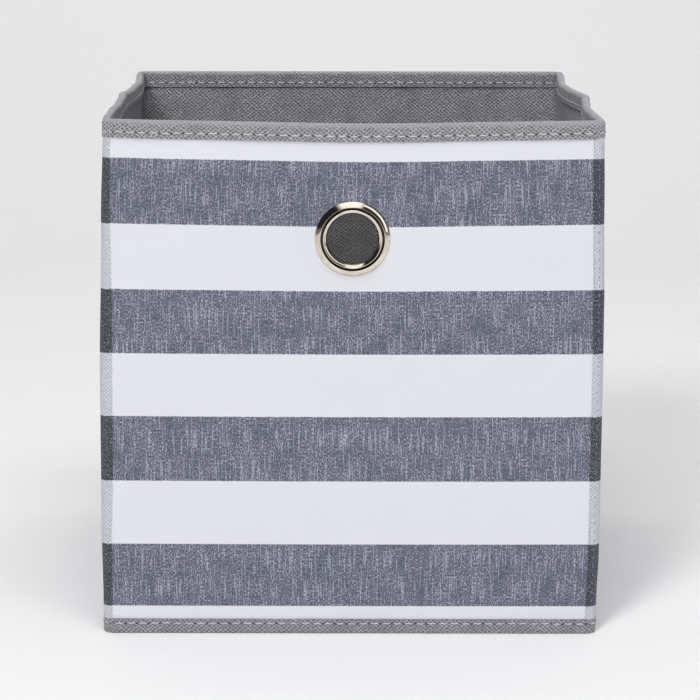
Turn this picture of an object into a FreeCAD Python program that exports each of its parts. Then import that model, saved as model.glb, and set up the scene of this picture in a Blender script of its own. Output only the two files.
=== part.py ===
import FreeCAD, Part
import os

# Folding fabric storage cube, in millimetres.
# +X is the right side, -Y the front and +Z up. The origin is on the floor, under the middle of the cube.
# Each wall is chipboard between printed cloth and lining. Each side wall has a crease at mid depth.
# The walls turn about vertical lines inside the four corners, so that the cube folds flat.

# Overall size
width = 267.0
depth = 254.0
height = 279.0

# Layers of a wall, from outside to inside
cover_t = 0.6
board_t = 2.0
lining_t = 0.5

# Tape folded over the top edge
binding_t = 0.8
rim_h = 9.6
rim_roll = 2.5
rim_edge_r = 2.0

# Tape round the bottom seam, and the floor cloth that it holds
bottom_binding_h = 8.0
bottom_binding_t = 2.0
bottom_edge_r = 1.2
base_cloth_t = 1.0
wall_lift = 0.5

# A rounded edge takes up at most this share of the thickness, so that some of it stays flat
round_share = 0.49

# Lengths closer than this are the same
same = 1e-6

# Gaps along the fold lines
fold_gap = 0.3
crease_offset = 1.5
crease_bare = 3.0
corner_bare = 1.0

# Loose base board, which stands against the back wall while the cube is folded
insert_board_t = 2.0
insert_cover_t = 0.5
insert_hem = 20.0
insert_corner_r = 4.0
insert_side_gap = 1.6
insert_front_gap = 1.0
insert_lift = 0.3
insert_fold_gap = 0.6

# Metal-ringed finger hole in the front wall
grommet_z = 218.0
hole_r = 13.5
barrel_t = 0.8
curl_r = 1.25
washer_w = 5.4
washer_dome_h = 2.1
washer_seat_t = 1.0
washer_edge_t = 0.3
flange_w = 4.7
flange_h = 1.2
flange_edge_t = 0.3
barrel_clearance = 0.3

# Depths below the outer plane, which is the face of the binding
cover_in = binding_t + cover_t
board_in = cover_in + board_t
lining_in = board_in + lining_t
rim_in = lining_in + binding_t

# The corner lines stand far enough in for the base board and the rims to fold between the walls
insert_t = insert_board_t + 2 * insert_cover_t
insert_slot = insert_t + 2 * insert_fold_gap
corner_r = lining_in + max(insert_slot / 2, binding_t + fold_gap)
half_w = width / 2
half_d = depth / 2
corner_x = half_w - corner_r
corner_y = half_d - corner_r

# Levels
wall_z = bottom_binding_h + wall_lift
rim_z = height - rim_h
core_z = height - rim_roll

# Base board, hinged about the top of its rear edge
insert_x = half_w - lining_in - insert_side_gap
insert_rear = half_d - lining_in - insert_slot / 2 + insert_t / 2
insert_front = -(half_d - lining_in - insert_front_gap)
insert_z = base_cloth_t + insert_lift

# Grommet
barrel_r = hole_r + barrel_t
cloth_hole_r = barrel_r + barrel_clearance
washer_r = cloth_hole_r + washer_w
curl_out_r = hole_r + 2 * curl_r
flange_r = barrel_r + flange_w

Z = FreeCAD.Vector(0, 0, 1)


def save(node, shape):
    """Write one sub-part."""
    shape.exportStep("parts/" + node + ".step")


def block(x, y, z):
    """Box between two limits on each axis."""
    corner = FreeCAD.Vector(min(x), min(y), min(z))
    return Part.makeBox(abs(x[1] - x[0]), abs(y[1] - y[0]), abs(z[1] - z[0]), corner)


def other_side(shape):
    """The same piece on the right instead of the left."""
    return shape.mirror(FreeCAD.Vector(0, 0, 0), FreeCAD.Vector(1, 0, 0))


def other_end(shape):
    """The same piece at the front instead of the back."""
    return shape.mirror(FreeCAD.Vector(0, 0, 0), FreeCAD.Vector(0, 1, 0))


def rear_left_sector(inner_r, outer_r, z):
    """Quarter ring about the rear left corner line, from the left wall to the back wall."""
    foot = FreeCAD.Vector(-corner_x, corner_y, z[0])
    solid = Part.makeCylinder(outer_r, z[1] - z[0], foot, Z, 90)
    solid = solid.cut(Part.makeCylinder(inner_r, z[1] - z[0], foot, Z, 360))
    solid.rotate(foot, Z, 90)
    return solid


def with_both_corners(straight, left_corner):
    """A run along the back wall, with a corner at each end."""
    return straight.fuse([left_corner, other_side(left_corner)]).removeSplitter()


def outline(place, start, *steps):
    """Closed face. A step is a point, or a pair of points: one that an arc passes through, and its end."""
    edges = []
    here = place(*start)
    for step in steps + (start,):
        if isinstance(step[0], tuple):
            middle, end = (place(*point) for point in step)
            edges.append(Part.Arc(here, middle, end).toShape())
        else:
            end = place(*step)
            edges.append(Part.LineSegment(here, end).toShape())
        here = end
    return Part.Face(Part.Wire(edges))


def rounded_block(x, y, z, radius):
    """Box with rounded upright edges."""
    solid = block(x, y, z)
    if radius <= 0:
        return solid
    upright = [edge for edge in solid.Edges if abs(edge.BoundBox.ZLength - (z[1] - z[0])) < same]
    return solid.makeFillet(radius, upright)


def back_layer(outer, inner, side, z):
    """Flat layer of the back wall, between two depths below the outer plane."""
    return block((-corner_x + side, corner_x - side), (half_d - outer, half_d - inner), z)


def left_rear_layer(outer, inner, front, z):
    """Flat layer of the rear half of the left wall, which stops a little before the crease."""
    return block((-half_w + outer, -half_w + inner), (corner_y - fold_gap, front), z)


def rim_face(place):
    """Section of the rim tape as a solid roll, from depth and height."""
    thick = rim_in
    radius = min(rim_edge_r, round_share * thick, round_share * rim_h)
    bend = radius * (1 - 0.5 ** 0.5)
    return outline(
        place,
        (0, rim_z),
        (0, height - radius),
        ((bend, height - bend), (radius, height)),
        (thick - radius, height),
        ((thick - bend, height - bend), (thick, height - radius)),
        (thick, rim_z),
    )


def back_rim():
    """Rim tape of the back wall. Its ends turn round the corners."""
    section = rim_face(lambda d, z: FreeCAD.Vector(-corner_x, half_d - d, z))
    corner_line = FreeCAD.Vector(-corner_x, corner_y, 0)
    roll = with_both_corners(
        section.extrude(FreeCAD.Vector(2 * corner_x, 0, 0)),
        section.revolve(corner_line, Z, 90),
    )
    lining_r = corner_r - lining_in
    held = back_layer(binding_t, lining_in, 0, (rim_z - 1, core_z))
    bend = rear_left_sector(lining_r, lining_r + lining_t, (rim_z - 1, core_z))
    return roll.cut(with_both_corners(held, bend))


def left_rear_rim():
    """Rim tape of the rear half of the left wall."""
    rear = corner_y - fold_gap
    section = rim_face(lambda d, z: FreeCAD.Vector(-half_w + d, rear, z))
    roll = section.extrude(FreeCAD.Vector(0, fold_gap - rear, 0))
    return roll.cut(left_rear_layer(binding_t, lining_in, fold_gap, (rim_z - 1, core_z)))


def back_lining():
    """Lining of the back wall. Its ends turn round the inside of the corners."""
    lining_r = corner_r - lining_in
    flat = back_layer(board_in, lining_in, 0, (wall_z, core_z))
    return with_both_corners(flat, rear_left_sector(lining_r, lining_r + lining_t, (wall_z, core_z)))


def rear_left_seam():
    """Doubled cloth round a corner, from the bottom seam to the rim tape."""
    return rear_left_sector(corner_r - cover_in, corner_r, (wall_z, rim_z))


def bottom_binding():
    """Tape that encloses the bottom seam, all round."""
    outer = rounded_block((-half_w, half_w), (-half_d, half_d), (0, bottom_binding_h), corner_r)
    radius = min(bottom_edge_r, round_share * bottom_binding_t)
    low = [edge for edge in outer.Edges if edge.BoundBox.ZMax < same]
    outer = outer.makeFillet(radius, low)
    return outer.cut(floor_block((-1, bottom_binding_h + 1)))


def floor_block(z):
    """Everything inside the bottom tape, between two levels."""
    x = half_w - bottom_binding_t
    y = half_d - bottom_binding_t
    return rounded_block((-x, x), (-y, y), z, corner_r - bottom_binding_t)


def insert_block(inset, z):
    """Plan of the base board, drawn in by an inset."""
    x = insert_x - inset
    return rounded_block((-x, x), (insert_front + inset, insert_rear - inset), z, insert_corner_r - inset)


def insert_board():
    """Chipboard of the base board."""
    low = insert_z + insert_cover_t
    return insert_block(insert_cover_t, (low, low + insert_board_t))


def insert_cover():
    """Cloth over the base board, turned under it and glued along a hem."""
    wrap = insert_block(0, (insert_z, insert_z + insert_t)).cut(insert_board())
    window = insert_block(insert_hem, (insert_z - 1, insert_z + insert_cover_t))
    return wrap.cut(window)


def finger_hole(radius):
    """Cylinder through the front wall."""
    start = FreeCAD.Vector(0, -half_d - 1, grommet_z)
    return Part.makeCylinder(radius, rim_in + 2, start, FreeCAD.Vector(0, 1, 0))


def turned(face):
    """Ring turned from a section in radius and height above the cloth, set in the front wall."""
    ring = face.revolve(FreeCAD.Vector(0, 0, 0), Z, 360)
    ring.rotate(FreeCAD.Vector(0, 0, 0), FreeCAD.Vector(1, 0, 0), 90)
    ring.translate(FreeCAD.Vector(0, -half_d + binding_t, grommet_z))
    return ring


def on_axis(radius, out):
    """Point of a turned section."""
    return FreeCAD.Vector(radius, 0, out)


def grommet_washer():
    """Domed ring that lies on the front cloth."""
    crown_r = (washer_r + curl_out_r) / 2
    return turned(outline(
        on_axis,
        (cloth_hole_r, 0),
        (washer_r, 0),
        (washer_r, washer_edge_t),
        ((crown_r, washer_dome_h), (curl_out_r, washer_seat_t)),
        (cloth_hole_r, washer_seat_t),
    ))


def grommet_eyelet():
    """Barrel through the wall, with its end curled over the washer and its flange on the lining."""
    wall_t = cover_t + board_t + lining_t
    back = -wall_t - flange_h
    middle_r = hole_r + curl_r
    flange_crown_r = (barrel_r + flange_r) / 2
    return turned(outline(
        on_axis,
        (hole_r, washer_seat_t),
        ((middle_r, washer_seat_t + curl_r), (curl_out_r, washer_seat_t)),
        (barrel_r, washer_seat_t),
        (barrel_r, -wall_t),
        (flange_r, -wall_t),
        (flange_r, -wall_t - flange_edge_t),
        ((flange_crown_r, back), (hole_r, -wall_t - flange_edge_t)),
    ))


def write_end_walls():
    """Back and front walls, which are alike but for the finger hole."""
    walls = {
        "cover": back_layer(binding_t, cover_in, 0, (wall_z, core_z)),
        "board": back_layer(cover_in, board_in, corner_bare, (wall_z, core_z)),
        "lining": back_lining(),
        "rim_binding": back_rim(),
    }
    for layer, shape in walls.items():
        save("back_" + layer, shape)
        front = other_end(shape)
        if layer != "rim_binding":
            front = front.cut(finger_hole(cloth_hole_r))
        save("front_" + layer, front)


def write_side_walls():
    """Two halves of each side wall."""
    board = left_rear_layer(cover_in, board_in, crease_bare, (wall_z, core_z))
    halves = {
        "cover": left_rear_layer(binding_t, cover_in, fold_gap, (wall_z, core_z)),
        "board": board.cut(block((-half_w, half_w), (corner_y - corner_bare, half_d), (0, height))),
        "lining": left_rear_layer(board_in, lining_in, fold_gap, (wall_z, core_z)),
        "rim_binding": left_rear_rim(),
    }
    for layer, shape in halves.items():
        save("left_rear_" + layer, shape)
        save("left_front_" + layer, other_end(shape))
        save("right_rear_" + layer, other_side(shape))
        save("right_front_" + layer, other_side(other_end(shape)))


def write_corner_seams():
    """Stitched seams at the four upright corners."""
    seam = rear_left_seam()
    save("rear_left_corner_seam", seam)
    save("rear_right_corner_seam", other_side(seam))
    save("front_left_corner_seam", other_end(seam))
    save("front_right_corner_seam", other_side(other_end(seam)))


def write_base():
    """Floor cloth, the tape round it and the loose base board."""
    save("base_cloth", floor_block((0, base_cloth_t)))
    save("bottom_binding", bottom_binding())
    save("base_insert_board", insert_board())
    save("base_insert_cover", insert_cover())


def write_grommet():
    """Metal ring round the finger hole."""
    save("grommet_washer", grommet_washer())
    save("grommet_eyelet", grommet_eyelet())


os.makedirs("parts", exist_ok=True)
write_end_walls()
write_side_walls()
write_corner_seams()
write_base()
write_grommet()
crease_reach = crease_offset + corner_r
print("corner lines at x", corner_x, "y", corner_y)
print("crease lines at x", corner_x + crease_reach)
print("folded depth", 2 * crease_reach + 2 * corner_r)
print("base board turns about y", insert_rear, "z", insert_z + insert_t)
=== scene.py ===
import math

import bpy
from mathutils import Matrix, Vector, noise


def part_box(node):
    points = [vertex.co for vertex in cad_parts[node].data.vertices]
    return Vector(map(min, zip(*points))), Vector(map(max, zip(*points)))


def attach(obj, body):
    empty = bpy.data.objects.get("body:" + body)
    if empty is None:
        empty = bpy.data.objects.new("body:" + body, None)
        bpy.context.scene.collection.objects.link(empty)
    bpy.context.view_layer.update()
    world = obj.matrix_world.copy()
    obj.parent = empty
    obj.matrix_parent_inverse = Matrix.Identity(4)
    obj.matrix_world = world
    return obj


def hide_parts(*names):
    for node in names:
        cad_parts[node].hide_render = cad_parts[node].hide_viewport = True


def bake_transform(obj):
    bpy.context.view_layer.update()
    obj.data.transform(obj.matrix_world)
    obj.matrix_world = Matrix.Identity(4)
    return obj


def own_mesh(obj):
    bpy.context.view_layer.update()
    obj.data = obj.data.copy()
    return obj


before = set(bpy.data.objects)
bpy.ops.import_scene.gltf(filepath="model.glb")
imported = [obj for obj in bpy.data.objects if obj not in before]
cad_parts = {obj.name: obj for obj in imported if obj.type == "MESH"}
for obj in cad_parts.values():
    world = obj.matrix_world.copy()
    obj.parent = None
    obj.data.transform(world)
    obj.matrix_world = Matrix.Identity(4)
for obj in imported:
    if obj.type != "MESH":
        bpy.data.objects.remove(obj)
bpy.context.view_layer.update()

# Folding fabric storage cube, in metres. +X is right, -Y the front, +Z up.

MM = 0.001

# Sizes read from the frame
half_w, half_d, ring_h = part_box("bottom_binding")[1]
rim_low, rim_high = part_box("back_rim_binding")
seam_low, seam_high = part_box("rear_left_corner_seam")
cover_low, cover_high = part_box("back_cover")
board_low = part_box("back_board")[0]
insert_low, insert_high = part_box("base_insert_cover")
washer_low, washer_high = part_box("grommet_washer")
corner_r = seam_high.x - seam_low.x
corner_x = half_w - corner_r
corner_y = half_d - corner_r

# Heights: top of the rim, lower edge of its tape, upper and lower edge of the walls' layers
top = rim_high.z
rim_z = rim_low.z
core_z = cover_high.z
wall_z = seam_low.z
cover_z = wall_z - 0.4 * MM

# Thickness of the cloths
LINING_THICK = 0.5 * MM
TAPE_THICK = 0.8 * MM

# Radii about the corner lines, which are also the distances of the flat layers from the corner planes
rim_out = corner_r
cover_out = cover_high.y - corner_y
cover_in = cover_low.y - corner_y
board_in = board_low.y - corner_y
lining_in = board_in - LINING_THICK
rim_in = lining_in - TAPE_THICK

# Grommet: the hole through the cloth, and the middle of the rings on the flat front
HOLE_R = 14.6 * MM
HOLE_SIDES = 96
ASIDE, RAISED = -0.6 * MM, 0.3 * MM
grommet = Vector((ASIDE, -corner_y - cover_out, (washer_low.z + washer_high.z) / 2 + RAISED))

# Printed stripes, measured down from the rim. The third is a little taller than the others.
stripe_top = top - 19.5 * MM
STRIPE_PITCH = 69.75 * MM
STRIPE_H = 35.0 * MM
STRIPE_BLEED = 0.35 * MM
TALLER = 0.8 * MM


# Shape of the cloth

# Places along a side wall, front corner to rear corner
PLACES = (-1, -0.88, -0.72, -0.55, -0.38, -0.2, -0.06, 0.06, 0.2, 0.38, 0.55, 0.72, 0.88, 1)


def at_places(*values):
    """Points of a curve along a side wall."""
    return tuple(zip(PLACES, values))


# What each side does, in millimetres: its corners outwards by height, its rim outwards and its rim upwards
LEFT = (((0, 1.3), (0.06, 1.5), (0.2, 2.0), (0.5, 1.9), (0.8, 0.2), (1, -1.4)),
        at_places(0, 0.7, 1.1, 0.7, 0.3, 0.7, 0.2, 0.9, -0.8, -1.8, -1.6, -1.6, -0.6, 0),
        at_places(0, 0.2, -1.0, -0.6, -1.1, -2.0, -0.5, -0.3, -0.9, -0.9, -1.8, -2.4, -1.9, 0))
RIGHT = (((0, -1.1), (0.06, -0.6), (0.16, 0.3), (0.5, 0.4), (0.65, 0.2), (0.82, -0.8), (1, -1.6)),
         at_places(0, 0.8, -0.1, -0.8, -1.1, 0.6, 2.1, 0.8, -0.8, -0.7, -1.2, -1.7, -0.2, 0),
         at_places(0, -0.8, -0.9, -1.0, -1.2, -0.1, 0.7, 0.2, -0.4, -1.8, -2.4, -3.0, -4.0, 0))

# Heights from floor (0) to rim (1) between which the walls' bow, the rim's and the lining's forms come in
UPPER_HALF = ((0.45, 0), (1, 1))
NEAR_RIM = ((0.86, 0), (0.97, 1))
UNDER_TAPE = ((0.9, 0), (0.97, 1))
AT_TAPE = ((0.91, 0), (0.97, 1))

# What the walls do, in millimetres
SIDE_BELLY = 0.9
BOARD_SPARE = -0.2       # how far the lining may come in beside the base board
FRONT_BOW, FRONT_BELLY = 3.6, 1.6
BACK_BOW, BACK_BELLY = 1.0, 1.0
RIM_LIFT = 0.8
FRONT_SAG, FRONT_DIP = 1.0, 0.6
BACK_RISE = 0.3
SIDE_PART = 0.9          # share of the half width past which a point belongs to a side wall


def bump(x, centre, width):
    """Smooth hump of height 1."""
    d = abs(x - centre) / width
    return 0.5 + 0.5 * math.cos(math.pi * d) if d < 1 else 0.0


def curve(x, points):
    """Smooth line through points (x, y) in rising order of x."""
    if x <= points[0][0]:
        return points[0][1]
    for (x0, y0), (x1, y1) in zip(points, points[1:]):
        if x <= x1:
            t = (x - x0) / (x1 - x0)
            t = t * t * (3 - 2 * t)
            return y0 + (y1 - y0) * t
    return points[-1][1]


def warp(p):
    """Moves a point of the flat-walled cube to where the cloth really is."""
    h = p.z / top
    a = max(-1, min(1, p.x / corner_x))
    b = max(-1, min(1, p.y / corner_y))
    across, along = p.x / half_w, p.y / half_d
    high = curve(h, UPPER_HALF)
    rim = curve(h, NEAR_RIM)
    belly = math.sin(math.pi * min(1, max(0, h))) ** 0.8
    # side walls: corners follow the silhouette, halves bow between corner and crease
    edge, plan, tops = LEFT if across < 0 else RIGHT
    side = curve(h, edge) * (0.35 + 0.65 * b * b) + rim * curve(b, plan)
    side += SIDE_BELLY * belly * (1 - b * b) * (1 - rim)
    inside = board_in + 0.05 * MM
    if abs(p.x) < corner_x + inside and abs(p.y) < corner_y + inside:
        # the lining keeps clear of the base board
        side += (1 - curve(h, UNDER_TAPE)) * max(0, BOARD_SPARE - side)
    # end walls bow out, most at the front's top
    lift = RIM_LIFT * curve(h, AT_TAPE)
    if along < 0:
        end = (1 - a * a) * (FRONT_BOW * high + FRONT_BELLY * belly)
        lift -= (FRONT_SAG * (1 - a * a) + FRONT_DIP * bump(a, 0.06, 0.55)) * high * b * b
    else:
        end = (1 - a * a) * (BACK_BOW * high + BACK_BELLY * belly)
        lift += BACK_RISE * high * (1 + a) * b * b
    if abs(across) > SIDE_PART:
        lift += curve(b, tops) * high * min(1, (abs(across) - SIDE_PART) / 0.05)
    return Vector((p.x + across * side * MM, p.y + along * end * MM, p.z + lift * MM))


# Plan of the walls: stations of (base point, outward direction, distance round the cube)

WALLS = ("front", "back", "left", "right")
WALL_STEPS = 64
CORNER_STEPS = 8


def spaced(first, last, steps=8):
    """Evenly spaced values from the first to the last."""
    return [first + (last - first) * i / steps for i in range(steps + 1)]


def line(start, end, normal, s):
    """Stations along one wall."""
    start, end, normal = Vector((*start, 0)), Vector((*end, 0)), Vector((*normal, 0))
    length = (end - start).length
    shares = spaced(0, 1, WALL_STEPS)
    if normal.x:
        # closer together where the side walls crease
        shares += [0.5 + side * k / (4 * WALL_STEPS) for k in (1, 2, 3) for side in (-1, 1)]
    return [(start.lerp(end, f), normal, s + length * f) for f in sorted(shares)]


def arc(centre, first, s):
    """Stations round one corner, from the direction first in degrees."""
    made = []
    for turn in spaced(0, 90, CORNER_STEPS):
        a = math.radians(first + turn)
        outwards = Vector((math.cos(a), math.sin(a), 0))
        made.append((Vector((*centre, 0)), outwards, s + corner_r * math.radians(turn)))
    return made


quarter = corner_r * math.pi / 2
s_front = 0.0
s_front_right = s_front + 2 * corner_x
s_right = s_front_right + quarter
s_rear_right = s_right + 2 * corner_y
s_back = s_rear_right + quarter
s_rear_left = s_back + 2 * corner_x
s_left = s_rear_left + quarter
s_front_left = s_left + 2 * corner_y

RUNS = {
    "front": line((-corner_x, -corner_y), (corner_x, -corner_y), (0, -1), s_front),
    "front_right": arc((corner_x, -corner_y), -90, s_front_right),
    "right": line((corner_x, -corner_y), (corner_x, corner_y), (1, 0), s_right),
    "rear_right": arc((corner_x, corner_y), 0, s_rear_right),
    "back": line((corner_x, corner_y), (-corner_x, corner_y), (0, 1), s_back),
    "rear_left": arc((-corner_x, corner_y), 90, s_rear_left),
    "left": line((-corner_x, corner_y), (-corner_x, -corner_y), (-1, 0), s_left),
    "front_left": arc((-corner_x, -corner_y), 180, s_front_left),
}

# Bodies of each run: one, or the two on either side of its crease, with the ends of the bend
BEND = 3.5 * MM
MOVES = {
    "front": ("front_wall",),
    "back": ("back_wall",),
    "left": ("left_front_half", "left_rear_half", (-half_w, -BEND, 0), (-half_w, BEND, 0)),
    "right": ("right_rear_half", "right_front_half", (half_w, BEND, 0), (half_w, -BEND, 0)),
    "rear_left": ("back_wall", "left_rear_half",
                  (-corner_x, corner_y + corner_r, 0), (-corner_x - corner_r, corner_y, 0)),
    "rear_right": ("back_wall", "right_rear_half",
                   (corner_x, corner_y + corner_r, 0), (corner_x + corner_r, corner_y, 0)),
    "front_left": ("left_front_half", "front_wall",
                   (-corner_x - corner_r, -corner_y, 0), (-corner_x, -corner_y - corner_r, 0)),
    "front_right": ("front_wall",),
}


def move(piece, run):
    """Makes a piece follow its run's body where the run has one; else bakes its place into its mesh."""
    how = MOVES[run]
    if len(how) == 1:
        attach(piece, how[0])
    else:
        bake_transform(piece)


# Meshes

def skin(rows, n, ring=False, turned=False):
    """Faces over rows of n points, with a cap at both ends unless the rows close into a ring.

    They face outwards where a row's points run clockwise as the next row sees them, and else are turned.
    """
    faces = []
    for i in range(rows if ring else rows - 1):
        here, there = i * n, (i + 1) % rows * n
        for j in range(n):
            k = (j + 1) % n
            faces.append((here + j, there + j, there + k, here + k))
    if not ring:
        faces.append(tuple(range(n)))
        faces.append(tuple(n * rows - 1 - j for j in range(n)))
    if turned:
        faces = [(face[0], *reversed(face[1:])) for face in faces]
    return faces


def set_cloth(data, domain, values):
    """Writes the cloth coordinates that a mesh's material reads."""
    old = data.attributes.get("cloth")
    if old:
        data.attributes.remove(old)
    data.attributes.new("cloth", "FLOAT_VECTOR", domain).data.foreach_set("vector", values)


def mesh_object(name, verts, faces, cloth, material):
    """New smooth piece with cloth coordinates."""
    data = bpy.data.meshes.new(name)
    data.from_pydata([tuple(v) for v in verts], [], faces)
    data.validate()
    set_cloth(data, "POINT", [value for point in cloth for value in point])
    data.polygons.foreach_set("use_smooth", [True] * len(data.polygons))
    data.materials.append(material)
    data.update()
    piece = bpy.data.objects.new(name, data)
    bpy.context.scene.collection.objects.link(piece)
    return piece


def sweep(name, stations, section, material, ripple=None, hole=False):
    """Closed solid of a section of (radius, height) carried along stations, cut for the grommet if asked."""
    verts, cloth = [], []
    for base, normal, s in stations:
        for radius, z in section:
            p = base + normal * radius + Vector((0, 0, z))
            if ripple:
                p += normal * ripple(s, z, radius)
            verts.append(p if hole else warp(p))
            cloth.append((s, z, radius))
    piece = mesh_object(name, verts, skin(len(stations), len(section)), cloth, material)
    if hole:
        cut_hole(piece)
        bend_front(piece)
    return piece


def bend_front(piece):
    """Bends a flat front layer to its place once its hole is cut."""
    cloth = []
    for v in piece.data.vertices:
        p = v.co.copy()
        cloth += [p.x + corner_x, p.z, -p.y - corner_y]
        v.co = warp(p)
    set_cloth(piece.data, "POINT", cloth)


def layer_section(outer, inner, low, high, steps=48):
    """Section of a flat layer: up its outer face and down its inner one."""
    up = spaced(low, high, steps)
    return [(outer, z) for z in up] + [(inner, z) for z in reversed(up)]


def smooth_by_angle(piece, degrees=40):
    """Sharp edges where faces meet at more than an angle."""
    bpy.context.view_layer.objects.active = piece
    for other in bpy.context.selected_objects:
        other.select_set(False)
    piece.select_set(True)
    bpy.ops.object.shade_smooth_by_angle(angle=math.radians(degrees), keep_sharp_edges=False)
    piece.select_set(False)


def cut_hole(piece):
    """Round hole through a flat front layer."""
    bpy.ops.mesh.primitive_cylinder_add(vertices=HOLE_SIDES, radius=HOLE_R, depth=0.03, location=grommet,
                                        rotation=(math.pi / 2, 0, 0))
    tool = bpy.context.object
    cutter = piece.modifiers.new("hole", "BOOLEAN")
    cutter.operation = "DIFFERENCE"
    cutter.solver = "EXACT"
    cutter.object = tool
    bpy.context.view_layer.objects.active = piece
    bpy.ops.object.modifier_apply(modifier=cutter.name)
    bpy.data.objects.remove(tool, do_unlink=True)


# Materials

def linear(r, g, b):
    """Colour written as it shows, from 0 to 255."""
    def one(c):
        c /= 255
        return c / 12.92 if c <= 0.04045 else ((c + 0.055) / 1.055) ** 2.4
    return (one(r), one(g), one(b), 1.0)


class Nodes:
    """Short way to write the nodes of a material or of the world."""

    def __init__(self, owner):
        owner.use_nodes = True
        self.owner = owner
        self.tree = owner.node_tree
        self.shader = self.tree.nodes.get("Principled BSDF") or self.tree.nodes["Background"]

    def add(self, kind, **values):
        """New node with its settings."""
        node = self.tree.nodes.new(kind)
        for key, value in values.items():
            setattr(node, key, value)
        return node

    def plug(self, node, socket, value):
        """Gives a socket a number or colour, or links another node's output to it."""
        if isinstance(value, bpy.types.NodeSocket):
            self.tree.links.new(value, node.inputs[socket])
        else:
            node.inputs[socket].default_value = value

    def plug_all(self, node, values):
        """Fills the first sockets, one after another."""
        for i, value in enumerate(values):
            self.plug(node, i, value)

    def math(self, kind, *values):
        node = self.add("ShaderNodeMath", operation=kind)
        self.plug_all(node, values)
        return node.outputs[0]

    def plus(self, a, b):
        return self.math("ADD", a, b)

    def minus(self, a, b):
        return self.math("SUBTRACT", a, b)

    def times(self, a, b):
        return self.math("MULTIPLY", a, b)

    def most(self, a, b):
        return self.math("MAXIMUM", a, b)

    def place(self, kind="Object"):
        """Coordinates of the shaded point."""
        return self.add("ShaderNodeTexCoord").outputs[kind]

    def split(self, vector):
        """A vector's three numbers."""
        node = self.add("ShaderNodeSeparateXYZ")
        self.plug(node, 0, vector)
        return node.outputs

    def cloth(self):
        """The cloth coordinates that mesh_object writes."""
        return self.split(self.add("ShaderNodeAttribute", attribute_name="cloth").outputs["Vector"])

    def point(self, x, y, z=0.0):
        node = self.add("ShaderNodeCombineXYZ")
        self.plug_all(node, (x, y, z))
        return node.outputs[0]

    def noise(self, vector, scale, detail=2.0, rough=0.5):
        node = self.add("ShaderNodeTexNoise")
        for socket, value in (("Vector", vector), ("Scale", scale), ("Detail", detail), ("Roughness", rough)):
            self.plug(node, socket, value)
        return node.outputs["Fac"]

    def waver(self, vector, scale, detail, reach, rough=0.5):
        """Noise to either side of nought."""
        return self.times(self.minus(self.noise(vector, scale, detail, rough), 0.5), reach)

    def ramp(self, value, low, high, out_low=0.0, out_high=1.0):
        """Smooth step from one value to another."""
        node = self.add("ShaderNodeMapRange", interpolation_type="SMOOTHSTEP")
        self.plug_all(node, (value, low, high, out_low, out_high))
        return node.outputs[0]

    def bar(self, value, points, full):
        """Grey by straight lines through (place, brightness)."""
        node = self.add("ShaderNodeValToRGB")
        stops = node.color_ramp.elements
        while len(stops) > 1:
            stops.remove(stops[-1])
        for i, (place, bright) in enumerate(points):
            stop = stops[0] if i == 0 else stops.new(place)
            stop.position = place
            stop.color = (bright / full, bright / full, bright / full, 1)
        self.plug(node, 0, value)
        return node.outputs["Color"]

    def mix(self, factor, a, b):
        node = self.add("ShaderNodeMix", data_type="RGBA")
        for socket, value in ((0, factor), (6, a), (7, b)):
            self.plug(node, socket, value)
        return node.outputs[2]

    def bumps(self, height, distance, strength=0.5, below=None):
        node = self.add("ShaderNodeBump")
        for socket, value in (("Height", height), ("Distance", distance), ("Strength", strength)):
            self.plug(node, socket, value)
        if below is not None:
            self.plug(node, "Normal", below)
        return node.outputs[0]

    def surface(self, colour, rough, normal=None, **more):
        """Joins everything to the shader and gives the material."""
        self.plug(self.shader, "Base Color", colour)
        self.plug(self.shader, "Roughness", rough)
        if normal is not None:
            self.plug(self.shader, "Normal", normal)
        for name, value in more.items():
            self.plug(self.shader, name.replace("_", " "), value)
        return self.owner


def new_material(name):
    """Nodes of a new material."""
    return Nodes(bpy.data.materials.new(name))


def diamonds(n, s, t, pitch_s=2.6 * MM, pitch_t=2.1 * MM):
    """Embossed lattice of crossing ridges: 1 on the ridges, 0 in the pits."""
    u = n.plus(n.times(s, math.pi / pitch_s), n.waver(n.point(s, t), 300.0, 3.0, 3.6))
    v = n.plus(n.times(t, math.pi / pitch_t), n.waver(n.point(s, t, 9.0), 240.0, 2.0, 2.4))
    one = n.math("ABSOLUTE", n.math("SINE", n.plus(u, v)))
    two = n.math("ABSOLUTE", n.math("SINE", n.minus(u, v)))
    ragged = n.waver(n.point(s, t, 4.0), 800.0, 3.0, 1.1, 0.6)
    return n.ramp(n.plus(n.math("MINIMUM", one, two), ragged), 0.05, 0.68, 1.0, 0.0)


def stripes(n, s, t):
    """1 on the printed stripes, 0 between them, with slightly bled edges."""
    down = n.plus(n.minus(stripe_top, t), n.waver(n.point(s, t), 900.0, 2.0, 0.6 * MM))
    third = 2 * STRIPE_PITCH
    down = n.plus(down, n.times(n.ramp(down, third - 14 * MM, third - 6 * MM, 0.0, TALLER),
                                n.ramp(down, third + 6 * MM, third + 26 * MM, 1.0, 0.0)))
    phase = n.math("MODULO", down, STRIPE_PITCH)
    inside = n.times(n.ramp(phase, 0.0, STRIPE_BLEED),
                     n.ramp(phase, STRIPE_H - STRIPE_BLEED, STRIPE_H, 1.0, 0.0))
    return n.times(inside, n.math("GREATER_THAN", down, 0.0))


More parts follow.
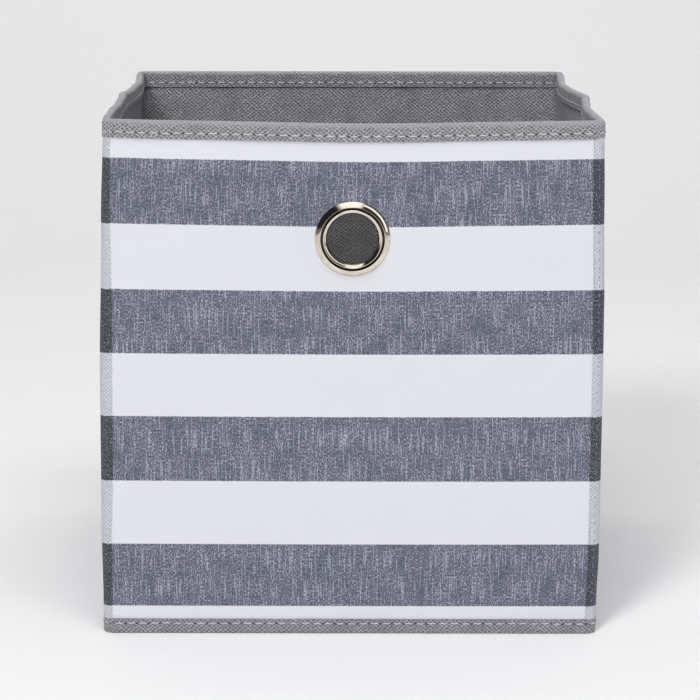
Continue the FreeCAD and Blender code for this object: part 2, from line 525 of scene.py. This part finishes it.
def pressed_strip(n, s, t, turn, seam):
    """1 on the strip pressed over each corner seam, which reaches a little way onto the front and back."""
    if seam:
        into = n.times(turn, -quarter)
    else:
        into = None
        for corner in (0.0, s_front_right, s_back, s_rear_left):
            off = n.math("ABSOLUTE", n.minus(s, corner))
            into = off if into is None else n.math("MINIMUM", into, off)
    left = n.most(n.math("LESS_THAN", s, corner_x), n.math("GREATER_THAN", s, s_front_left))
    left_reach = n.plus(n.ramp(t, 137 * MM, 270 * MM, 1.3 * MM, -1.1 * MM),
                        n.ramp(t, 30 * MM, 100 * MM, -1.7 * MM, 0.0))
    reach = n.plus(n.times(left, left_reach), n.times(n.minus(1.0, left), 0.7 * MM))
    ragged = n.waver(n.point(s, t, 8.0), 420.0, 2.0, 0.9 * MM)
    return n.ramp(n.plus(n.minus(reach, into), ragged), -0.15 * MM, 0.35 * MM)


def printed_cloth(name, seam=False):
    """White canvas with chambray stripes, darker and dimpled where it is pressed over the corner seams."""
    n = new_material(name)
    s, t, turn = n.cloth()

    def slubs(across, up, layer, detail=2.0, rough=0.5):
        """Noise with its own scale each way, in noise cells per metre."""
        return n.noise(n.point(n.times(s, across), n.times(t, up), layer), 1.0, detail, rough)

    fleck = slubs(1850.0, 900.0, 0.0, rough=0.6)
    yarn = slubs(1300.0, 60.0, 5.0)
    level = slubs(90.0, 1300.0, 7.0)
    grain = slubs(2400.0, 2000.0, 3.0, rough=0.7)
    patch = slubs(75.0, 75.0, 1.0, 3.0, 0.6)
    cover = n.ramp(patch, 0.30, 0.62, 0.35, 1.0)
    light = n.times(n.ramp(fleck, 0.50, 0.68), cover)
    long_light = n.times(n.ramp(yarn, 0.53, 0.64), n.ramp(fleck, 0.34, 0.56))
    row_light = n.times(n.ramp(level, 0.54, 0.70), n.ramp(fleck, 0.42, 0.60))
    deep = n.times(n.ramp(fleck, 0.47, 0.32), cover)
    blue = n.mix(n.ramp(patch, 0.35, 0.65), linear(88, 94, 108), linear(100, 102, 118))
    blue = n.mix(n.times(deep, 0.80), blue, linear(56, 58, 74))
    blue = n.mix(n.times(light, 0.88), blue, linear(196, 199, 213))
    blue = n.mix(n.times(long_light, 0.66), blue, linear(196, 199, 212))
    blue = n.mix(n.times(row_light, 0.62), blue, linear(180, 183, 197))
    white = n.mix(n.times(n.ramp(grain, 0.3, 0.7), 0.6), linear(232, 232, 239), linear(226, 227, 235))
    # pressed strip: faint dimples and specks on the white, dark with bright specks on the stripes
    strip = pressed_strip(n, s, t, turn, seam)
    lattice = diamonds(n, s, t, 2.2 * MM, 2.0 * MM)
    pit = n.times(n.minus(1.0, lattice), strip)
    speck = n.times(n.ramp(fleck, 0.53, 0.62), strip)
    grey = n.mix(lattice, linear(176, 177, 190), linear(217, 218, 227))
    grey = n.mix(n.times(speck, 0.5), grey, linear(232, 233, 241))
    white = n.mix(n.times(strip, 0.92), white, grey)
    blue = n.mix(n.times(strip, 0.74), blue, linear(52, 54, 60))
    blue = n.mix(n.times(pit, 0.5), blue, linear(33, 34, 38))
    blue = n.mix(n.times(speck, 0.5), blue, linear(160, 162, 172))
    height = n.plus(n.times(fleck, 0.5), n.times(grain, 0.5))
    height = n.plus(height, n.times(n.times(lattice, strip), 1.6))
    return n.surface(n.mix(stripes(n, s, t), white, blue), 0.85, n.bumps(height, 0.12 * MM), Sheen_Weight=0.1)


def nonwoven(name, ridge, pit, smooth=None, deep=None):
    """Grey non-woven cloth with an embossed lattice, smooth over the top of the rim, with painted shade deep
    inside.
    """
    n = new_material(name)
    s, t, radius = n.cloth()
    lattice = diamonds(n, s, t)
    fibres = n.noise(n.point(s, t), 1400.0, 3.0, 0.65)
    patch = n.noise(n.point(s, t, 2.0), 80.0, 2.0)
    colour = n.mix(lattice, pit, ridge)
    colour = n.mix(n.times(n.ramp(fibres, 0.4, 0.7), 0.35), colour, ridge)
    colour = n.mix(n.times(n.ramp(patch, 0.35, 0.7), 0.25), colour, pit)
    height = lattice
    # painted shade: the deep colour comes in as the cloth's height falls from 246 mm to 190 mm
    if deep is not None:
        colour = n.mix(n.ramp(t, 190 * MM, 246 * MM, 0.62, 0.0), colour, deep)
    if smooth is not None:
        middle = (rim_out + rim_in) / 2
        limit = n.ramp(radius, middle - 0.5 * MM, middle + 0.5 * MM, top - 0.9 * MM, top - 2.4 * MM)
        ragged = n.plus(n.minus(t, limit), n.waver(n.point(s, t, 6.0), 160.0, 3.0, 5.0 * MM))
        plain = n.ramp(ragged, -0.9 * MM, 0.9 * MM)
        for crease in (s_right + corner_y, s_left + corner_y):
            off = n.math("ABSOLUTE", n.minus(s, crease))
            plain = n.most(plain, n.ramp(off, 2.2 * MM, 3.4 * MM, 1.0, 0.0))
        plain = n.times(plain, 0.75)
        colour = n.mix(plain, colour, smooth)
        height = n.times(lattice, n.minus(1.0, plain))
    fine = n.bumps(fibres, 0.08 * MM)
    return n.surface(colour, 0.8, n.bumps(height, 0.35 * MM, 0.9, fine), Sheen_Weight=0.1)


def chipboard():
    """Grey-brown pressed board with flecks."""
    n = new_material("chipboard")
    flecks = n.noise(n.place(), 900.0, 4.0, 0.7)
    cloud = n.noise(n.place(), 60.0, 2.0)
    colour = n.mix(n.ramp(flecks, 0.35, 0.65), linear(139, 122, 98), linear(172, 155, 128))
    colour = n.mix(n.times(n.ramp(cloud, 0.3, 0.7), 0.3), colour, linear(150, 136, 112))
    return n.surface(colour, 0.9, n.bumps(flecks, 0.1 * MM))


def metal():
    """Polished nickel with a warm cast, with painted shade in the groove between the two rings and in the
    eyelet's bore.
    """
    n = new_material("grommet_metal")
    _, radius, _ = n.cloth()
    smear = n.noise(n.place(), 160.0, 3.0, 0.6)
    colour = n.mix(n.ramp(smear, 0.35, 0.7), linear(232, 221, 208), linear(216, 205, 190))
    # painted shade: dark in the groove between the two rings and in the eyelet's bore
    groove = n.times(n.ramp(radius, 15.55 * MM, 15.75 * MM), n.ramp(radius, 16.85 * MM, 17.1 * MM, 1.0, 0.0))
    shade = n.most(groove, n.ramp(radius, 13.62 * MM, 13.85 * MM, 1.0, 0.0))
    colour = n.mix(n.times(shade, 0.94), colour, linear(40, 36, 30))
    fine = n.bumps(n.noise(n.place(), 1200.0, 2.0), 0.01 * MM, 0.3)
    return n.surface(colour, n.ramp(smear, 0.3, 0.75, 0.07, 0.15), fine, Metallic=1.0)


def thread(name, low, high):
    """Twisted sewing thread."""
    n = new_material(name)
    twist = n.noise(n.place(), 4000.0, 2.0)
    return n.surface(n.mix(n.ramp(twist, 0.35, 0.65), low, high), 0.55, n.bumps(twist, 0.05 * MM))


def painted_stitch_shade():
    """Painted shade: dark dabs for the cloth pulled down into shade where the thread goes in."""
    n = new_material("painted_stitch_shade")
    fibres = n.noise(n.place(), 3000.0, 2.0)
    return n.surface(n.mix(fibres, linear(40, 40, 44), linear(84, 84, 90)), 0.95, n.bumps(fibres, 0.05 * MM))


CLOTH = printed_cloth("printed_cloth")
SEAM = printed_cloth("pressed_cloth", seam=True)
# The lining's deep colour is painted shade, darker low down inside the cube.
LINING = nonwoven("lining_cloth", linear(210, 208, 214), linear(97, 95, 101), deep=linear(62, 57, 52))
TAPE = nonwoven("binding_tape", linear(201, 201, 207), linear(105, 105, 111), linear(157, 157, 164))
RING = nonwoven("bottom_tape", linear(188, 189, 196), linear(105, 105, 112))
BOARD = chipboard()
METAL = metal()
THREAD = thread("thread", linear(196, 196, 203), linear(232, 232, 238))
SUNK_THREAD = thread("sunk_thread", linear(118, 118, 130), linear(150, 150, 162))
# dark dabs of painted shade between stitches
HOLE = painted_stitch_shade()


# Camera and light

# Fitted to the corners of the rim and the base in the photo: degrees, then metres, then pixels, and the
# sensor's width in millimetres
TILT, ROLL, YAW = 10.41, 0.249, 0.458
CAMERA_X, CAMERA_AWAY, CAMERA_Z = -0.0124, 1.3197, 0.4373
FOCAL, PICTURE = 2540.6, 700
SENSOR = 36

SKY_LIGHT = 0.07
KEY_LIGHT = 69
HIGH_LIGHT = 35
RIGHT_LIGHT = 6.5
BACK_LIGHT = 10.5

# What polished metal mirrors: brightness by the angle round the Y axis from +X, in turns, and on the right
# also by how far back the ray goes (0 straight to the viewer, 1 straight away)
MIRRORED = ((0, 0.45), (0.18, 0.45), (0.21, 1.40), (0.311, 1.40), (0.339, 0.02), (0.478, 0.02), (0.522, 0.45),
            (1, 0.45))
RIGHT_SIDE = ((0, 0.04), (0.17, 0.04), (0.21, 1.3), (0.30, 1.3), (0.35, 0.03), (1, 0.03))
RIGHT_TURN = 0.185
MIRROR_FULL = 1.5


def make_camera():
    """The photograph's viewpoint, a little above the cube and looking down at it."""
    data = bpy.data.cameras.new("camera")
    camera = bpy.data.objects.new("camera", data)
    bpy.context.scene.collection.objects.link(camera)
    ahead = Matrix.Rotation(math.radians(-YAW), 4, "Z") @ Matrix.Rotation(math.radians(90 - TILT), 4, "X")
    rolled = ahead @ Matrix.Rotation(math.radians(ROLL), 4, "Z")
    camera.matrix_world = Matrix.Translation(Vector((CAMERA_X, -half_d - CAMERA_AWAY, CAMERA_Z))) @ rolled
    data.sensor_width = SENSOR
    data.lens = FOCAL * SENSOR / PICTURE
    data.shift_y = -0.1
    data.clip_start, data.clip_end = 0.05, 50
    bpy.context.scene.camera = camera


def sky(world):
    """Even sky. Polished metal mirrors lamps and dark screens instead."""
    n = Nodes(world)
    x, y, z = n.split(n.place("Generated"))
    turn = n.math("FRACT", n.plus(n.math("DIVIDE", n.math("ARCTAN2", z, x), 2 * math.pi), 1.0))
    back_turn = n.times(n.plus(y, 1.0), 0.5)
    on_right = n.times(n.math("GREATER_THAN", x, 0.0),
                       n.times(n.math("GREATER_THAN", turn, 0.0), n.math("LESS_THAN", turn, RIGHT_TURN)))
    sides = n.mix(on_right, n.bar(turn, MIRRORED, MIRROR_FULL), n.bar(back_turn, RIGHT_SIDE, MIRROR_FULL))
    ray = n.add("ShaderNodeLightPath").outputs["Is Glossy Ray"]
    n.plug(n.shader, "Color", n.mix(ray, (0.95, 0.96, 1.0, 1), sides))
    n.plug(n.shader, "Strength", n.plus(SKY_LIGHT, n.times(ray, MIRROR_FULL - SKY_LIGHT)))


def area_light(name, place, target, size, power):
    """Soft lamp that polished metal doesn't mirror."""
    data = bpy.data.lights.new(name, "AREA")
    data.shape = "RECTANGLE"
    data.size, data.size_y = size
    data.energy = power
    lamp = bpy.data.objects.new(name, data)
    lamp.location = place
    lamp.visible_glossy = False
    lamp.rotation_euler = (Vector(target) - Vector(place)).to_track_quat("-Z", "Y").to_euler()
    bpy.context.scene.collection.objects.link(lamp)


def floor_material():
    """Pale paper, with a painted pool of light that makes it brighter round the cube."""
    n = new_material("floor")
    x, y, _ = n.split(n.place())
    ahead = n.plus(y, 0.42)
    aside = n.times(x, 0.8)
    away = n.math("SQRT", n.plus(n.times(ahead, ahead), n.times(aside, aside)))
    colour = n.mix(n.noise(n.place(), 3.0, 2.0), (0.848, 0.848, 0.848, 1), (0.858, 0.858, 0.858, 1))
    # painted pool of light: paler paper near the front of the cube
    colour = n.mix(n.ramp(away, 0.12, 0.55, 1.0, 0.0), colour, (0.97, 0.97, 0.97, 1))
    return n.surface(colour, 0.9)


def make_studio():
    """Even sky, four soft lamps, and a pale floor that curves up into a wall behind the cube."""
    world = bpy.data.worlds.new("world")
    bpy.context.scene.world = world
    sky(world)
    area_light("key", (-1.3, -2.9, 2.55), (0, 0, 0.12), (0.9, 0.9), KEY_LIGHT)
    area_light("right", (1.9, -0.35, 0.3), (0, 0, 0.12), (0.5, 0.4), RIGHT_LIGHT)
    area_light("high", (0.1, -1.1, 2.6), (0, -0.3, 0), (1.6, 1.0), HIGH_LIGHT)
    area_light("behind", (0, 0.5, 1.7), (0, 1.6, 0.1), (2.6, 0.6), BACK_LIGHT)
    reach, cove_y, cove_r, height = 8.0, 1.0, 0.9, 5.0
    side = [(-reach, 0.0), (-2.0, 0.0), (0.0, 0.0), (cove_y, 0.0)]
    for a in spaced(0.0, math.pi / 2, 24)[1:]:
        side.append((cove_y + cove_r * math.sin(a), cove_r - cove_r * math.cos(a)))
    side.append((cove_y + cove_r, height))
    verts = [(x, y, z) for y, z in side for x in (-reach, reach)]
    faces = [(2 * i, 2 * i + 1, 2 * i + 3, 2 * i + 2) for i in range(len(side) - 1)]
    floor = mesh_object("floor", verts, faces, verts, floor_material())


make_camera()
make_studio()


# Walls

def rim_section(inset=0.0, leg=TAPE_THICK, roof=core_z):
    """Rim tape: outer leg, rolled top and inner leg, hollow over the layers that it holds."""
    outer, inner = rim_out - inset, rim_in + inset
    r = (outer - inner) / 2
    centre = (outer + inner) / 2
    eaves = top - inset - r
    points = [(outer, z) for z in spaced(rim_z, eaves)]
    for a in spaced(0.0, math.pi, 12)[1:-1]:
        points.append((centre + r * math.cos(a), eaves + r * math.sin(a) * 0.98))
    points += [(inner, z) for z in spaced(eaves, rim_z)]
    points += [(inner + leg, z) for z in spaced(rim_z, roof)]
    points += [(outer - leg, z) for z in spaced(roof, rim_z)]
    return points


def rim_ripple(s, z, radius):
    """Small puckers between the stitches of the rim tape."""
    return (noise.noise(Vector((s * 45, z * 60, radius * 40))) * 0.35) * MM


def wall_nodes(run, layer):
    """CAD nodes that one layer of a wall stands for."""
    if run in ("front", "back"):
        return [run + "_" + layer]
    return [run + "_rear_" + layer, run + "_front_" + layer]


def finish_cloth(piece, run, nodes):
    """Hides the CAD nodes that one cloth of a wall stands for, and moves it with its run."""
    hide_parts(*nodes)
    move(piece, run)


def make_walls(corners):
    """Printed cloth, lining and rim tape of the four walls."""
    outside = layer_section(cover_out, cover_in, cover_z, core_z)
    inside = layer_section(board_in, lining_in, wall_z, core_z)
    for run in WALLS:
        stations = RUNS[run]
        hole = run == "front"
        cover = sweep("cover_" + run, stations, outside, CLOTH, hole=hole)
        lining = sweep("lining_" + run, stations, inside, LINING, hole=hole)
        rim = sweep("rim_" + run, stations, rim_section(), TAPE, rim_ripple)
        for piece in (cover, lining, rim):
            smooth_by_angle(piece)
        finish_cloth(cover, run, wall_nodes(run, "cover"))
        finish_cloth(lining, run, wall_nodes(run, "lining"))
        finish_cloth(rim, run, wall_nodes(run, "rim_binding"))


def make_boards():
    """Stiff boards, one in each end wall and one in each half of a side wall."""
    margin = 1.0 * MM
    bare = 3.0 * MM
    section = layer_section(cover_in - 0.02 * MM, board_in + 0.02 * MM, wall_z + margin, core_z - margin, 24)
    for name in ("front", "back", "left_rear", "left_front", "right_rear", "right_front"):
        run, _, half = name.partition("_")
        stations = RUNS[run][1:-1]
        if half:
            to_rear = 1 if half == "rear" else -1
            stations = [station for station in stations if station[0].y * to_rear > bare]
        board = sweep("board_" + name, stations, section, BOARD, hole=(name == "front"))
        smooth_by_angle(board)
        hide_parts(name + "_board")
        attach(board, name + ("_half" if half else "_wall"))


def corner_pieces(tag, seam_ends, lining_ends, tape):
    """Cloth, lining and tape round one corner."""
    run = tag.removesuffix("_under")
    under = run != tag
    stations = RUNS[run]
    low, high = cover_z, rim_z + 0.3 * MM
    step = max(0, seam_ends[0] - max(cover_out, seam_ends[1] + 0.15 * MM))

    def level(s, z, radius):
        """The strip's face comes down to the walls at both ends; the tucked layer slopes inwards."""
        f = (s - stations[0][2]) / quarter
        if under:
            return -1.8 * MM * (1 - curve(f, ((0, 0), (0.8, 1))))
        outer = abs(radius - seam_ends[0]) < 1e-6
        return -step * (1 - curve(min(f, 1 - f), ((0, 0), (0.25, 1)))) if outer else 0.0

    def tape_level(s, z, radius):
        """The rim's puckers, and under the open corner's rim the same slope."""
        return rim_ripple(s, z, radius) + (level(s, z, radius) if under else 0.0)

    seam = sweep("seam_" + tag, stations, layer_section(*seam_ends, low, high), SEAM, level)
    # the seam's third cloth coordinate runs round the corner, from the front or the back wall
    from_end = run in ("front_right", "rear_left")
    for item in seam.data.attributes["cloth"].data:
        along = (item.vector[0] - stations[0][2]) / quarter
        item.vector[2] = along if from_end else 1 - along
    # at the open corner the tucked rim and lining start half way round, and the outer lining ends sooner
    short = stations[CORNER_STEPS // 2:] if under else stations
    long = short[:-2] if tag == "front_right" else short
    lining = layer_section(*lining_ends, wall_z, core_z - 0.6 * MM)
    inside = sweep("corner_lining_" + tag, long, lining, LINING)
    rim = sweep("corner_rim_" + tag, short, tape, TAPE, tape_level)
    for piece, slot in ((seam, "printed_cloth"), (inside, "lining_cloth"), (rim, "binding_tape")):
        smooth_by_angle(piece)
    return seam, inside, rim


def make_corners():
    """Three corners are baked in place. At the fourth, two layers slide over each other."""
    middle = (board_in + lining_in) / 2
    made = {"front": [], "back": []}
    for run in ("front_left", "rear_left", "rear_right"):
        pieces = corner_pieces(run, (rim_out, cover_in), (board_in, lining_in), rim_section())
        for piece in pieces:
            move(piece, run)
        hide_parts(run + "_corner_seam")
        made["front" if run == "front_left" else "back"].append(pieces)
    outer = corner_pieces("front_right", (rim_out, cover_out + 0.1 * MM), (board_in, middle),
                          rim_section(leg=0.4 * MM, roof=core_z + 0.9 * MM))
    inner = corner_pieces("front_right_under", (cover_out + 0.05 * MM, cover_in),
                          (middle - 0.02 * MM, lining_in),
                          rim_section(0.42 * MM, 0.36 * MM, core_z + 0.4 * MM))
    for piece in outer:
        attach(piece, "front_wall")
    for piece in inner:
        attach(piece, "right_front_half")
    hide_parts("front_right_corner_seam")
    made["front"] += [outer, inner]
    return {wall: {"lining": [lining for _, lining, _ in sets], "rim": [rim for _, _, rim in sets]}
            for wall, sets in made.items()}


make_walls(make_corners())
make_boards()


# Stitches: length, width and height of each kind, and of the dab of painted shade between two

STITCH_PITCH = 6.1 * MM
WALL_LENGTH, CORNER_LENGTH = 4.2 * MM, 2.9 * MM
WIDTH = 0.66 * MM
OUTSIDE_HEIGHT, INSIDE_HEIGHT = 0.7 * MM, 0.45 * MM
SHADE_DAB = (1.3 * MM, 0.9 * MM, 0.36 * MM)
SUNK = (1.5 * MM, 0.45 * MM, 0.2 * MM)
SUNK_PITCH, SUNK_COUNT, SUNK_START = 4.8 * MM, 51, 18 * MM


def capsule(verts, faces, centre, along, out, size):
    """Adds a short stitch that lies along a line and is domed outwards."""
    length, width, height = size
    across = along.cross(out).normalized()
    first = len(verts)
    rings, sides = 6, 6
    for i in range(rings + 1):
        u = -1 + 2 * i / rings
        fat = math.sqrt(1 - abs(u) ** 3) if 0 < i < rings else 0.15
        for j in range(sides):
            a = 2 * math.pi * j / sides
            p = centre + along * (u * length / 2)
            p = p + across * (math.cos(a) * width / 2 * fat) + out * (math.sin(a) * height / 2 * fat)
            verts.append(p)
    faces += [tuple(first + v for v in face) for face in skin(rings + 1, sides)]


def place_at(run, s):
    """Base point and outward direction at a distance round the cube, within one run."""
    stations = RUNS[run]
    for (b0, n0, s0), (b1, n1, s1) in zip(stations, stations[1:]):
        if s0 - 1e-9 <= s <= s1 + 1e-9:
            t = (s - s0) / (s1 - s0)
            return b0.lerp(b1, t), n0.lerp(n1, t).normalized()
    return stations[-1][0], stations[-1][1]


def on_cloth(run, s, radius, z):
    """Point of the cloth at a distance round the cube, a radius and a height."""
    base, normal = place_at(run, s)
    return warp(base + normal * radius + Vector((0, 0, z)))


def stitch_row(name, run, radius, z, high=OUTSIDE_HEIGHT, inwards=False):
    """Row of stitches along a run at one height, shorter round a corner."""
    length = WALL_LENGTH if run in WALLS else CORNER_LENGTH
    verts, faces, materials = [], [], []
    s0, s1 = RUNS[run][0][2], RUNS[run][-1][2]
    count = max(1, int((s1 - s0) / STITCH_PITCH))
    step = (s1 - s0) / count
    for i in range(count):
        s = s0 + (i + 0.5) * step
        jitter = noise.noise(Vector((s * 900, z * 90, 1)))
        level = radius + rim_ripple(s, z, radius), z + jitter * 0.25 * MM
        along = (on_cloth(run, s + step * 0.2, *level) - on_cloth(run, s - step * 0.2, *level)).normalized()
        normal = place_at(run, s)[1]
        out = -normal if inwards else normal
        centre = on_cloth(run, s, *level) + out * 0.05 * MM
        gap = on_cloth(run, min(s + step * 0.5, s1), *level)
        # each stitch is followed by a dark dab of painted shade in the gap
        for kind, spot, size in ((0, centre, (length * (1 + 0.15 * jitter), WIDTH, high)), (1, gap, SHADE_DAB)):
            before = len(faces)
            capsule(verts, faces, spot, along, out, size)
            materials += [kind] * (len(faces) - before)
    row = mesh_object(name, verts, faces, [(v.x, v.z, v.y) for v in verts], THREAD)
    row.data.materials.append(HOLE)
    row.data.polygons.foreach_set("material_index", materials)
    return row


def make_stitches():
    """Rows on both faces of the rim tape."""
    rows = (("rim_stitch_out_", rim_out, rim_z + 2.9 * MM, OUTSIDE_HEIGHT, False),
            ("rim_stitch_in_", rim_in, rim_z + 2.6 * MM, INSIDE_HEIGHT, True))
    for run in RUNS:
        for name, radius, z, high, inwards in rows:
            row = stitch_row(name + run, run, radius, z, high, inwards)
            move(row, run)


def make_corner_stitches():
    """Upright row of sunk stitches in the front right corner strip."""
    base, normal = place_at("front_right", s_front_right + 0.28 * quarter)
    verts, faces = [], []
    for i in range(SUNK_COUNT):
        z = SUNK_START + SUNK_PITCH * i
        low, high = (warp(base + normal * rim_out + Vector((0, 0, end))) for end in (z, z + SUNK[0]))
        capsule(verts, faces, (low + high) / 2, (high - low).normalized(), normal, SUNK)
    row = mesh_object("corner_stitch", verts, faces, [(v.x, v.z, v.y) for v in verts], SUNK_THREAD)
    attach(row, "front_wall")


make_stitches()
make_corner_stitches()


# Bottom


def crumple(piece):
    """Gives a piece of the base its own copy of its mesh."""
    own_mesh(piece)


def make_bottom_tape():
    """Tape round the bottom seam: outer face, turn under the cube and inner face, hollow over the walls."""
    stations = []
    for run in RUNS:
        stations += RUNS[run][:-1]
    inner = rim_out - 2.0 * MM
    leg = 0.7 * MM
    edge = 0.6 * MM
    outline = [(rim_out, z) for z in spaced(ring_h, edge)]
    outline += [(rim_out - 0.3 * edge, 0.3 * edge), (rim_out - edge, 0.0)]
    outline += [(inner + 0.3 * edge, 0.0), (inner, 0.3 * edge)]
    outline += [(inner, z) for z in spaced(edge, ring_h)]
    outline += [(inner + leg * 0.9, z) for z in spaced(ring_h, edge)]
    outline += [(rim_out - leg, z) for z in spaced(edge, ring_h)]
    verts, cloth = [], []
    for base, normal, s in stations:
        for radius, z in outline:
            p = base + normal * (radius + noise.noise(Vector((s * 50, z * 60, radius * 30))) * 0.2 * MM)
            verts.append(warp(Vector((p.x, p.y, z))))
            cloth.append((s, z, radius))
    n = len(outline)
    faces = skin(len(stations), n, ring=True, turned=True)
    ring = mesh_object("bottom_tape", verts, faces, cloth, RING)
    # the last step's pattern runs on instead of back to the start
    total = s_front_left + quarter
    data = ring.data
    flat = []
    for face in data.polygons:
        last = max(face.vertices) >= len(verts) - n
        for v in (data.loops[i].vertex_index for i in face.loop_indices):
            s, z, radius = cloth[v]
            flat += [s + total if last and v < n else s, z, radius]
    set_cloth(data, "CORNER", flat)
    smooth_by_angle(ring)
    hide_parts("bottom_binding")
    crumple(ring)
    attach(ring, "back_wall")


def make_bottom_stitches():
    """Row of stitches round the bottom tape."""
    for run in RUNS:
        row = stitch_row("bottom_stitch_" + run, run, rim_out, ring_h - 2.3 * MM)
        crumple(row)
        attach(row, "back_wall")


def make_base_cloth():
    """Floor cloth between the tapes, with faint waves."""
    x_end, y_end = half_w - 2.0 * MM, half_d - 2.0 * MM
    count = 40
    n = count + 1
    verts, cloth, faces = [], [], []
    for level, t in ((0.25 * MM, 0), (0.95 * MM, 1)):
        for x in spaced(-x_end, x_end, count):
            for y in spaced(-y_end, y_end, count):
                wave = noise.noise(Vector((x * 20, y * 20, 3))) * 0.15 * MM
                verts.append(Vector((x, y, level + wave)))
                cloth.append((x, y, t))
    for i in range(count):
        for j in range(count):
            a = i * n + j
            quad = (a, a + 1, a + n + 1, a + n)
            faces += [quad, tuple(n * n + v for v in reversed(quad))]
    border = [(i * n, (i + 1) * n) for i in range(count)]
    border += [(count * n + j, count * n + j + 1) for j in range(count)]
    border += [((i + 1) * n + count, i * n + count) for i in range(count)]
    border += [(j + 1, j) for j in range(count)]
    faces += [(a, b, n * n + b, n * n + a) for a, b in border]
    piece = mesh_object("base_cloth_sheet", verts, faces, cloth, LINING)
    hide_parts("base_cloth")
    crumple(piece)
    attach(piece, "back_wall")


make_bottom_tape()
make_base_cloth()
make_bottom_stitches()


# Loose base board

def make_insert():
    """Cloth wrapped round the base board: soft edges and a faintly puffy top."""
    low, high = insert_low, insert_high
    corner = 4.0 * MM
    edge = (high.z - low.z) / 2
    centre = (low + high) / 2
    hx, hy = (high.x - low.x) / 2, (high.y - low.y) / 2

    def outline(inset):
        """Rounded rectangle, set in from the edge."""
        r = max(0.2 * MM, corner - inset)
        points = []
        for cx, cy, first in ((1, 1, 0), (-1, 1, 90), (-1, -1, 180), (1, -1, 270)):
            for turn in spaced(0, 90):
                a = math.radians(first + turn)
                points.append((centre.x + cx * (hx - inset - r) + r * math.cos(a),
                               centre.y + cy * (hy - inset - r) + r * math.sin(a)))
        return points

    rings = [(80 * MM, low.z), (40 * MM, low.z), (12 * MM, low.z)]
    for a in spaced(-math.pi / 2, math.pi / 2):
        rings.append((edge * (1 - math.cos(a)), centre.z + edge * math.sin(a)))
    rings += [(12 * MM, high.z + 0.05 * MM), (40 * MM, high.z + 0.1 * MM), (80 * MM, high.z + 0.12 * MM)]
    verts = [(x, y, z) for inset, z in rings for x, y in outline(inset)]
    faces = skin(len(rings), len(outline(0)), turned=True)
    piece = mesh_object("base_insert_wrap", verts, faces, verts, LINING)
    smooth_by_angle(piece)
    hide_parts("base_insert_cover")
    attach(piece, "base_insert")


make_insert()


# Grommet

# Closed sections of its two rings, as (radius, distance out from the cloth) in millimetres
WASHER = ((20.0, -0.1), (20.0, 0.12), (19.85, 0.32), (19.5, 0.66), (19.0, 1.05), (18.4, 1.42), (17.8, 1.72),
          (17.3, 1.93), (16.95, 2.02), (16.7, 1.96), (16.55, 1.75), (16.45, 1.35), (16.4, 0.8), (16.3, 0.3),
          (14.7, 0.2), (14.7, -0.1))
EYELET = ((15.5, 0.4), (15.72, 1.0), (15.76, 1.6), (15.68, 1.95), (15.5, 2.12), (15.3, 2.12), (14.9, 1.95),
          (14.4, 1.66), (13.95, 1.3), (13.65, 0.85), (13.5, 0.3), (13.5, 0.0), (13.5, -4.0), (13.9, -4.35),
          (18.6, -4.35), (19.0, -3.95), (19.0, -3.25), (14.3, -3.2), (14.3, 0.1))


def lathe(name, profile, centre, out, material, steps=128):
    """Ring turned about an axis from a closed profile of (radius, distance along the axis)."""
    side = Vector((1, 0, 0))
    side = (side - out * side.dot(out)).normalized()
    up = out.cross(side).normalized()
    verts, cloth = [], []
    for i in range(steps):
        a = 2 * math.pi * i / steps
        spoke = side * math.cos(a) + up * math.sin(a)
        for radius, height in profile:
            verts.append(centre + spoke * radius + out * height)
            cloth.append((a, radius, height))
    return mesh_object(name, verts, skin(steps, len(profile), ring=True), cloth, material)


def make_grommet():
    """Domed washer and rolled eyelet on the warped wall."""
    aside, above = Vector((8 * MM, 0, 0)), Vector((0, 0, 8 * MM))
    right = warp(grommet + aside) - warp(grommet - aside)
    up = warp(grommet + above) - warp(grommet - above)
    out = right.cross(up).normalized()
    for name, section in (("washer", WASHER), ("eyelet", EYELET)):
        profile = [(radius * MM, height * MM) for radius, height in section]
        piece = lathe(name, profile, warp(grommet), out, METAL)
        smooth_by_angle(piece, 50)
        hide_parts("grommet_" + name)
        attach(piece, "front_wall")


make_grommet()


# CAD nodes that stay

def dress(node, material):
    """Gives a CAD node its material."""
    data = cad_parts[node].data
    if not data.materials:
        data.materials.append(material)
    for i in range(len(data.materials)):
        data.materials[i] = material


dress("base_insert_board", BOARD)

view = bpy.context.scene.view_settings
view.view_transform = "Standard"
